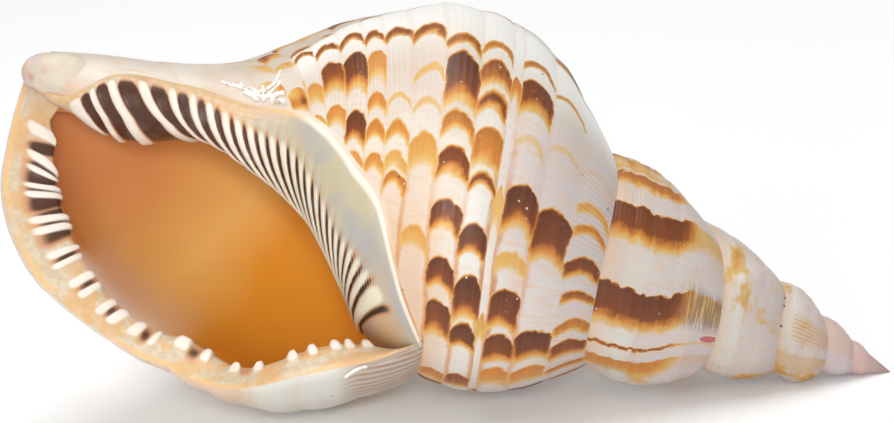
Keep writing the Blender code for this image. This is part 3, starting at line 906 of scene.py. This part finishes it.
# Marks on the last whorl's cords where the mouth's side shows: for each cord, (turns at the crisp young edge,
# length, darkness). They fade out towards the older side. The side shows from MARK_FIRST to MARK_LAST.
MARK_FIRST = 0.545
MARK_LAST = 0.995
MARKS = {
    0: [
        (0.668, 0.01, 0.15), (0.711, 0.014, 0.4), (0.738, 0.014, 0.55), (0.777, 0.022, 0.85),
        (0.817, 0.016, 0.7), (0.86, 0.02, 0.6), (0.892, 0.035, 0.8), (0.945, 0.02, 0.6),
    ],
    1: [(0.61, 0.006, 0.5), (0.676, 0.01, 0.2), (0.743, 0.052, 0.95), (0.868, 0.05, 1), (0.93, 0.04, 0.5)],
    2: [
        (0.6, 0.01, 0.6), (0.628, 0.04, 0.9), (0.69, 0.01, 0.2), (0.737, 0.04, 1), (0.793, 0.02, 0.35),
        (0.831, 0.04, 0.95), (0.877, 0.04, 0.9), (0.925, 0.045, 0.5),
    ],
    3: [(0.636, 0.03, 0.55), (0.745, 0.04, 0.35), (0.86, 0.03, 0.4)],
    4: [
        (0.606, 0.01, 0.6), (0.63, 0.03, 0.72), (0.654, 0.03, 1), (0.7, 0.036, 0.6), (0.734, 0.018, 1),
        (0.782, 0.024, 1), (0.828, 0.042, 1), (0.873, 0.028, 1), (0.95, 0.04, 0.75),
    ],
    5: [
        (0.612, 0.012, 0.7), (0.634, 0.056, 1), (0.694, 0.02, 0.62), (0.727, 0.022, 0.85),
        (0.769, 0.024, 0.95), (0.819, 0.026, 0.95), (0.858, 0.04, 0.9), (0.955, 0.03, 0.6),
    ],
    6: [
        (0.6, 0.014, 0.75), (0.651, 0.01, 0.33), (0.685, 0.008, 0.25), (0.719, 0.036, 0.42), (0.8, 0.02, 0.4),
    ],
    7: [
        (0.595, 0.014, 0.75), (0.679, 0.008, 0.3), (0.711, 0.014, 0.5), (0.739, 0.02, 0.4),
        (0.76, 0.014, 0.6),
    ],
    8: [
        (0.59, 0.014, 0.75), (0.624, 0.04, 0.5), (0.676, 0.022, 0.55), (0.709, 0.018, 0.55),
        (0.745, 0.02, 0.5),
    ],
    9: [(0.583, 0.014, 0.75), (0.618, 0.058, 0.95), (0.7, 0.034, 0.95), (0.745, 0.03, 0.45)],
    10: [(0.577, 0.014, 0.75), (0.615, 0.052, 0.8), (0.688, 0.03, 0.5)],
    11: [(0.563, 0.014, 0.75), (0.64, 0.04, 0.45), (0.7, 0.03, 0.4)],
}
# The same across the whole of the spire's whorls where the mouth's side shows.
SPIRE_MARKS = [
    (0.575, 0.02, 0.4), (0.6, 0.034, 0.62), (0.667, 0.066, 0.88), (0.795, 0.074, 0.92), (0.896, 0.008, 0.75),
    (0.935, 0.05, 0.5),
]
MARK_ARCH = 0.013  # how far a mark's young edge runs ahead in the middle of its cord, in turns
MARKS_PER_TURN = 13  # of the marks made by chance
MOST_MARKS = 7  # a ramp holds no more than this many marks
MARK_HELD = 0.5  # share of a mark's length before it fades
RIBLETS_PER_CORD = 5
FOLDS_PER_TURN = 150
WRINKLES_PER_TURN = 105
SPIRE_RIBS_PER_TURN = 70
# Places along the spire, in turns: where each starts, is full, starts to fade and ends.
DRAWN_SPIRE = (1.56, 1.60, 1.96, 2.02)
DIRTY_PATCH = (1.742, 1.775, 1.81, 1.845)
RIBBED_BAND = (3.68, 3.72, 3.77, 3.81)
OCHRE_BAND = (3.83, 3.85, 3.90, 3.95)
APEX_BAND = (4.52, 4.60, 4.74, 4.84)
# A small pink scar on the spire: its middle and its half size, in turns and in cords.
SCAR_TURNS, SCAR_HALF_TURNS = 1.852, 0.0085
SCAR_CORD, SCAR_HALF_CORDS = 0.25, 0.33
NARROW_RIB = 3.5  # the middle of the first narrow rib, in cords


def share_of_side(turns):
    return (turns - MARK_FIRST) / (MARK_LAST - MARK_FIRST)


def marks_along(along_side, marks):
    """Darkness of a cord's marks, by how far along the picture's side the place is, 0 to 1."""
    stops = [(0, 0.0)]
    for start, length, darkness in marks[:MOST_MARKS]:
        held = start + MARK_HELD * length
        edges = [(start - 0.004, 0.0), (start, darkness), (held, 0.85 * darkness), (start + length, 0.0)]
        for turn, tone in edges:
            if share_of_side(turn) > stops[-1][0]:
                stops.append((share_of_side(turn), tone))
    darkness = along_side.ramp(*stops)
    if len(marks) > MOST_MARKS:
        darkness = darkness.most(marks_along(along_side, marks[MOST_MARKS:]))
    return darkness


class Spot:
    """What the shell's colour is worked out from: where a point lies on the shell, and the noises there."""

    def __init__(self, paint):
        growth = paint.node("UVMap", {"uv_map": "growth"}, {})
        self.turns = paint.node("SeparateXYZ", {}, {0: growth}, "X")
        self.number = paint.node("SeparateXYZ", {}, {0: growth}, "Y")  # in cords, counted from the suture
        self.depth = paint.attribute("depth")  # 0 outside, 1 at the throat, more in the hollow
        self.place = paint.object_place()
        self.broad = paint.noise(self.place, 22)
        self.middling = paint.noise(self.place, 75, 3)
        self.fine = paint.noise(self.place, 420, 3)
        self.streak = paint.noise(paint.vector(self.turns * 180, self.number * 1.2), 1.0, 3)
        self.threads = paint.noise(paint.vector(self.turns * 14, self.number * 9), 1.0, 2)

        # where a point lies on its cord, with uneven edges
        self.warp = (self.middling - 0.5) * 0.35 + (self.fine - 0.5) * 0.12
        bend = self.number.ease(0.0, 0.6) * self.turns.ease(2.2, 1.2)
        self.bent_number = self.number + self.warp * bend
        self.cord = self.bent_number.floor()
        across = (self.bent_number - self.cord) * 2 - 1
        self.from_middle = abs(across)
        self.bow = across * across
        uneven = (self.middling - 0.5) * 0.02 + (self.fine - 0.5) * 0.006
        self.aged = self.turns - self.bow * MARK_ARCH + uneven

        # which part of the shell it belongs to, 0 to 1
        self.outside = self.depth.ease(0.14, 0.1)
        self.band = self.number.ease(1.04, 0.94)
        self.last_whorl = self.turns.ease(1.62, 1.5)
        self.side = share_of_side(self.turns)
        self.on_side = self.side.within(0.0, 0.03, 0.97, 1.0) * self.number.ease(12.3, 11.7)
        self.inner_lip = self.number.ease(18.3, 18.6)
        self.in_hollow = self.depth.ease(0.62, 0.95) * (1 - self.inner_lip)
        self.in_hollow = self.in_hollow + self.depth.ease(0.86, 1.0) * self.inner_lip


def marks_by_chance(paint, at):
    """Darkness of the marks on the sides that the picture doesn't show."""
    counted = at.aged * MARKS_PER_TURN + paint.chance(at.cord, 3.0) * 5
    cell = counted.floor()
    dark_chance = paint.chance(cell, at.cord)
    length_chance = paint.chance(at.cord, cell + 40)
    along = paint.vector(at.turns * 7, at.number * 0.5, at.depth)
    patches = paint.noise(along, 1.15, 1).ease(0.46, 0.60)
    fading = 1 - (counted - cell) / (length_chance * 0.55 + 0.3)
    by_chance = fading.ease(-0.05, 0.6) * (dark_chance * 0.85 + patches * 0.55 - 0.12).least(1.0)
    by_chance = by_chance * at.last_whorl * at.turns.ease(0.0, 0.12) * (1 - at.band * 0.35)
    spire_noise = paint.noise(paint.vector(at.turns * 9, at.number * 0.34), 1.0, 3, 0.6)
    blotches = spire_noise.ease(0.47, 0.74) * (1 - at.last_whorl) * at.turns.ease(4.5, 3.9)
    return by_chance + blotches * (0.95 - at.turns.ease(1.95, 2.2) * 0.5)


def marks_darkness(paint, at):
    """Darkness of all marks: those of the picture's side, of the spire's second whorl and by chance."""
    along = share_of_side(at.aged)
    on_cord = {cord: 1 - abs(at.cord - cord).above(0.5) for cord in MARKS}
    drawn = sum(marks_along(along, marks) * on_cord[cord] for cord, marks in MARKS.items())
    whorl_share = (at.turns - at.bow * 0.004 + at.warp * 0.04 + (at.fine - 0.5) * 0.014).fraction()
    spire_side = share_of_side(whorl_share) + (1 - at.number.ease(0.8, 2.8)) * 0.075
    spire_drawn = marks_along(spire_side, SPIRE_MARKS) * (0.30 + 0.70 * at.number.ease(0.9, 2.0))
    on_spire = at.turns.within(*DRAWN_SPIRE)
    darkness = marks_by_chance(paint, at) * (1 - at.on_side) * (1 - on_spire)
    darkness = darkness + drawn * at.on_side + spire_drawn * on_spire
    darkness = darkness * (1 - at.from_middle.ease(0.8, 1.0) * 0.35 * at.last_whorl)
    return darkness * (0.84 + at.threads * 0.32) * (0.15 + 0.85 * at.number.ease(14.5, 11.5))


def ground_colour(paint, at):
    """The outside's colour under the marks, with a painted highlight on the last whorl's top and painted
    shade in the wrinkles by the suture.
    """
    right_side = at.number.ease(4.4, 2.6) * at.turns.ease(0.62, 0.70)
    lilac = at.broad.ease(0.58, 0.42) * 0.35 + right_side * 0.5 + at.band * 0.3
    lilac = lilac + (1 - at.last_whorl) * 0.15
    lower_left = at.number.ease(4.6, 6.2) * (0.12 + at.turns.ease(0.70, 0.80) * 0.42)
    peachy = lower_left + (at.streak.ease(0.45, 0.75) + right_side * at.streak.ease(0.40, 0.65)) * 0.25

    lip_outside = at.turns.ease(0.05, -0.02) * at.number.ease(9, 6)
    edge_tone = paint.mix(at.number.ease(2.5, 3.7) * 0.85, LIP_OUTSIDE_WHITE, LIP_OUTSIDE_PEACH)
    # brown near the suture, darker in stripes that paint the shade of the wrinkles' folds
    wrinkle_brown_and_shade = at.number.ease(1.4, 0.9) * (0.45 + at.turns.wave(WRINKLES_PER_TURN).ease(-0.4, 0.6) * 0.5)
    edge_tone = paint.mix(wrinkle_brown_and_shade, edge_tone, WRINKLE_BROWN_AND_SHADE)

    lines = at.from_middle.ease(0.70, 0.98) * at.last_whorl
    lines = lines * (0.10 + at.side.within(0.40, 0.62, 0.9, 1.05) * 0.6)
    beside_rib = abs(abs(at.bent_number - NARROW_RIB) - 0.56).ease(0.17, 0.05)
    beside_rib = beside_rib * at.turns.within(0.66, 0.76, 0.94, 0.99)
    return paint.layers(
        CREAM,
        (at.broad.ease(0.35, 0.65), CHALK),
        (lilac.least(0.85), LILAC),
        (peachy.least(0.8), PEACH),
        # painted highlight: the last whorl's top near the start of the mouth's side, whitened for the light
        # from above
        (at.side.ease(0.24, 0.04) * at.on_side * 0.9, PAINTED_HIGHLIGHT_WHITE),
        (lip_outside * 0.85, edge_tone),
        (lines * at.number.ease(1.6, 2.2), ORANGE),
        (beside_rib * (0.35 + at.middling.ease(0.4, 0.6) * 0.5), RIB_LINE),
    )


def outside_colour(paint, at, pores):
    """The outside's ground with its marks, and the spire's bands, dirt, scar, apex, bare specks and pores."""
    darkness = marks_darkness(paint, at)
    mark_tone = darkness.ramp(
        (0.0, YELLOW_OCHRE), (0.30, YELLOW_OCHRE), (0.48, ORANGE), (0.72, BROWN), (1.0, DARK_BROWN)
    )
    ribs = 0.55 + at.turns.wave(SPIRE_RIBS_PER_TURN) * 0.35
    ribbed = at.turns.within(*RIBBED_BAND) * at.number.ease(5.2, 4.2) * ribs
    ribbed = ribbed.most(at.turns.within(*OCHRE_BAND) * 0.6)
    dirty = at.turns.within(*DIRTY_PATCH) * at.number.ease(1.9, 1.1) * at.threads.ease(0.35, 0.55)
    scar_along = (at.turns - SCAR_TURNS) / SCAR_HALF_TURNS
    scar_across = (at.number - SCAR_CORD) / SCAR_HALF_CORDS
    scar = (scar_along * scar_along + scar_across * scar_across).ease(1.3, 0.8)
    apex_band = at.turns.within(*APEX_BAND) * 0.4
    apex_tone = paint.layers(APEX_LILAC, (at.turns.ease(5.0, 5.8), APEX_PINK), (apex_band, APEX_ORANGE))
    bare = paint.cells(at.place, 330.0).ease(0.16, 0.09) * at.middling.ease(0.5, 0.62)
    bare = bare * darkness.ease(0.4, 0.6)
    return paint.layers(
        ground_colour(paint, at),
        (darkness.ease(0.03, 0.30), mark_tone),
        (ribbed * 0.85, RIBBED_OCHRE),
        (dirty * 0.75, DIRT),
        (scar, SCAR_PINK),
        (at.turns.ease(3.9, 4.4) * 0.9, apex_tone),
        (bare * 0.8, CHALK),
        (pores * 0.85, BROWN_BLACK),
    )


def mouth_colour(paint, at):
    """The colour of the lip's face, the inner lip and the hollow, with their ridges and stains, a band of
    painted light inside the lip and painted shade deep in the hollow.
    """
    at_edge = at.depth.ease(0.30, 0.18) * at.middling.ease(0.62, 0.45)
    face_tone = paint.layers(
        FACE_TAN,
        (at.fine.ease(0.4, 0.62), FACE_CREAM),
        ((at.middling + at.streak - 1).ease(-0.06, 0.12) * 0.7, FACE_ORANGE),
        (at_edge * 0.8, FACE_EDGE),
    )
    in_corner = at.number.ease(18.87, 18.93) * at.depth.ease(0.22, 0.5)
    shield_tone = paint.layers(
        SHIELD_BROWN,
        (at.broad.ease(0.42, 0.6), SHIELD_OLIVE),
        (at.middling.ease(0.50, 0.64) * 0.6, SHIELD_GREY),
        (in_corner * 0.8, CORNER_TAN),
        (at.depth.ease(0.22, 0.17), paint.mix(at.number.ease(18.50, 18.60), RIM_ORANGE, RIM_WHITE)),
    )

    around = (at.number - 3) / 15 + (at.broad - 0.5) * 0.25
    hollow_tone = around.ramp(
        (0.0, DEEP_ORANGE), (0.22, DEEP_ORANGE), (0.42, GOLD), (0.6, HOLLOW_TAN), (0.78, RED_BROWN),
        (1.0, RED_BROWN),
    )
    # a pale band just inside the lip, its colour lightened as painted light because the lip shades it
    pale_band_painted_light = at.depth.ease(1.16, 1.02) * at.number.within(6.5, 9.0, 12.0, 13.6)
    # painted shade: darker the deeper the place lies in the hollow
    deep_in_painted_shade = at.depth.ease(1.45, 2.0) * 0.6
    hollow_tone = paint.layers(hollow_tone, (pale_band_painted_light, PALE_BAND_PAINTED_LIGHT), (deep_in_painted_shade, HOLLOW_PAINTED_SHADE))

    stain = paint.attribute("stain")
    stain_tone = paint.layers(
        STAIN_BROWN,
        (at.inner_lip, BROWN_BLACK),
        (at.inner_lip * at.number.ease(18.45, 18.25), NAVY),
        (at.middling.ease(0.56, 0.72) * 0.3, STAIN_GREY),
    )
    return paint.layers(
        face_tone,
        (at.inner_lip, shield_tone),
        (at.in_hollow, hollow_tone),
        (stain.ease(0.0, 0.4) * 0.85, STAIN_HALO),
        (stain.ease(0.3, 0.85), stain_tone),
        (paint.attribute("ridge").ease(0.3, 0.7), paint.mix(at.inner_lip, TOOTH_WHITE, LIRA_CREAM)),
    )


def shell_paint():
    paint = Paint("shell")
    at = Spot(paint)
    pores = paint.cells(at.place, 150.0).ease(0.075, 0.045) * at.middling.ease(0.53, 0.6)
    colour = paint.mix(at.outside, mouth_colour(paint, at), outside_colour(paint, at, pores))

    riblets = at.number.wave(RIBLETS_PER_CORD)
    folds = at.turns.wave(FOLDS_PER_TURN) * at.band
    raised = (riblets * 0.10 + folds * 0.5 + at.streak * 0.5 + at.fine * 0.25) * at.outside
    lip_raised = (at.middling * 0.7 + at.fine * 0.2) * (1 - at.outside) * (1 - at.in_hollow)
    raised = raised + lip_raised - pores * 1.5
    normal = paint.node("Bump", {}, {"Height": raised, "Strength": 0.35, "Distance": 0.0006})
    rough = 0.28 + at.fine * (1 - at.in_hollow) * 0.16 + at.outside * 0.06
    paint.feed(paint.shader, {"Base Color": colour, "Roughness": rough, "Normal": normal, "IOR": 1.53})
    paint.shader.inputs["Specular IOR Level"].default_value = 0.32
    paint.shader.inputs["Subsurface Weight"].default_value = 0.06
    paint.shader.inputs["Subsurface Radius"].default_value = (0.004, 0.002, 0.001)
    return paint.material


skin = Skin()
whorls = whorl_rows(skin)
base, canal_end = base_rows(skin, whorls)
lip = mouth(skin, whorls, base, canal_end)
fill_hollow(skin, lip)

shell_mesh = bpy.data.meshes.new("triton_shell")
shell_mesh.from_pydata(lying(np.array(skin.points)).tolist(), [], skin.faces)
growth_map = shell_mesh.uv_layers.new(name="growth")
growth = np.array(skin.growth, np.float32)
growth[:, 1] = cord_number(growth[:, 1])
growth_map.data.foreach_set("uv", growth.ravel())
for name, values in (("depth", skin.depth), ("ridge", skin.ridge), ("stain", skin.stain)):
    attribute = shell_mesh.attributes.new(name, "FLOAT", "POINT")
    attribute.data.foreach_set("value", np.array(values, np.float32))
shell_mesh.shade_smooth()
shell = bpy.data.objects.new("triton_shell", shell_mesh)
bpy.context.scene.collection.objects.link(shell)

shell.data.materials.append(shell_paint())
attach(shell, "root")
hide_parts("shell")


# The crust on the canal's end: a rounded, half-clear lump of lime, cream where it meets the inner lip.
# It is cemented over the broken end of the canal. Its places are (along the axis, to the viewer, up).
CRUST_MIDDLE = (269.0, 2.2, 1.3)
CRUST_HALF_SIZE = (13.6, 7.6, 8.0)
CRUST_BUMP = 0.0022
CRUST_BUMP_SIZE = 0.009
CRUST_GREY = (0.56, 0.46, 0.40)
CRUST_CREAM = (0.66, 0.55, 0.40)
CRUST_PINK = (0.56, 0.22, 0.20)
CRUST_TO_NECK = (-0.122, -0.112)  # where the crust's own colours end and the shell's cream starts


def crust_paint():
    paint = Paint("crust")
    spot = paint.object_place()
    broad = paint.noise(spot, 90, 2)
    fine = paint.noise(spot, 500, 3)
    pink = paint.noise(spot, 170, 1).ease(0.58, 0.66)
    to_neck = paint.node("SeparateXYZ", {}, {0: spot}, "X").ease(*CRUST_TO_NECK)
    colour = paint.layers(
        CRUST_GREY,
        (broad.ease(0.5, 0.62) * 0.7, CRUST_CREAM),
        (broad.ease(0.48, 0.38) * 0.6, PEACH),
        (pink * 0.6, CRUST_PINK),
        (to_neck * 0.85, CREAM),
    )
    normal = paint.node("Bump", {}, {"Height": fine, "Strength": 0.4, "Distance": 0.0006})
    paint.feed(paint.shader, {"Base Color": colour, "Roughness": 0.42 + fine * 0.1, "Normal": normal})
    return paint.material


deselect_all()
bpy.ops.mesh.primitive_ico_sphere_add(subdivisions=5, radius=1, location=(0, 0, 0))
crust = bpy.context.active_object
crust.name = "canal_crust"
for vertex in crust.data.vertices:
    vertex.co = lying([np.array(CRUST_MIDDLE) + np.array(CRUST_HALF_SIZE) * vertex.co])[0]
clouds = bpy.data.textures.new("crust_lumps", "CLOUDS")
clouds.noise_scale = CRUST_BUMP_SIZE
lumps = crust.modifiers.new("lumps", "DISPLACE")
lumps.texture = clouds
lumps.texture_coords = "LOCAL"
lumps.strength = CRUST_BUMP
bpy.ops.object.modifier_apply(modifier="lumps")
bpy.ops.object.shade_smooth()
crust.data.materials.append(crust_paint())
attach(crust, "root")


# Worm tubes: the white lime tubes of sea worms that grew beside the inner lip, and one on the lip's outside.
# Each is cemented to the shell along its length. The points are (turns, column) on the shell's outside.
TUBES = [
    (0.62, [(0.573, 1.483), (0.59, 1.503), (0.608, 1.522), (0.63, 1.557)]),
    (0.5, [(0.6, 1.5), (0.618, 1.52), (0.633, 1.543), (0.664, 1.58)]),
    (0.75, [(0.64, 1.508), (0.644, 1.53), (0.655, 1.55), (0.668, 1.552)]),
    (0.7, [(0.664, 1.545), (0.66, 1.53), (0.667, 1.519)]),
    (0.45, [(0.61, 1.66), (0.617, 1.652), (0.624, 1.64)]),
    (0.5, [(0.612, 1.617), (0.63, 1.612), (0.646, 1.604), (0.664, 1.588)]),
    (0.55, [(0.621, 1.639), (0.63, 1.616), (0.643, 1.589), (0.632, 1.56)]),
    (0.55, [(0.646, 1.62), (0.652, 1.606), (0.664, 1.596)]),
    (0.5, [(0.628, 1.6), (0.64, 1.578), (0.65, 1.566), (0.645, 1.548)]),
    (0.45, [(0.655, 1.612), (0.648, 1.59), (0.658, 1.572)]),
    (0.55, [(0.618, 1.56), (0.634, 1.572), (0.652, 1.6)]),
    (0.5, [(-0.06, 0.262), (-0.064, 0.245), (-0.066, 0.225), (-0.069, 0.19)]),
]
TUBE_WHITE = (0.78, 0.75, 0.70)
TUBE_BROWN = (0.36, 0.22, 0.12)
TUBE_SINK = 0.25  # share of a tube's radius that lies in the shell


def tube_paint():
    paint = Paint("tubes")
    fine = paint.noise(paint.object_place(), 600, 2)
    colour = paint.mix(fine.ease(0.56, 0.7) * 0.6, TUBE_WHITE, TUBE_BROWN)
    normal = paint.node("Bump", {}, {"Height": fine, "Strength": 0.5, "Distance": 0.0004})
    paint.feed(paint.shader, {"Base Color": colour, "Roughness": 0.55 + fine * 0.1, "Normal": normal})
    return paint.material


made_tubes = []
for radius, path in TUBES:
    turns, columns = np.array(path).T
    height = radius * (1 - TUBE_SINK) + relief(columns, suture(turns)[0])
    along, out = inset_point(turns, columns, -height)
    points = lying(place(along, out, turns))
    line = bpy.data.curves.new("tube", "CURVE")
    line.dimensions = "3D"
    line.bevel_depth = radius / METRE
    line.bevel_resolution = 2
    line.use_fill_caps = True
    spline = line.splines.new("BEZIER")
    spline.bezier_points.add(len(points) - 1)
    for knot, point in zip(spline.bezier_points, points):
        knot.co = point
        knot.handle_left_type = knot.handle_right_type = "AUTO"
    tube = bpy.data.objects.new("tube", line)
    bpy.context.scene.collection.objects.link(tube)
    made_tubes.append(tube)
deselect_all()
for tube in made_tubes:
    tube.select_set(True)
bpy.context.view_layer.objects.active = made_tubes[0]
bpy.ops.object.convert(target="MESH")
bpy.ops.object.join()
tubes = bpy.context.active_object
tubes.name = "worm_tubes"
bpy.ops.object.shade_smooth()
tubes.data.materials.clear()
tubes.data.materials.append(tube_paint())
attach(tubes, "root")
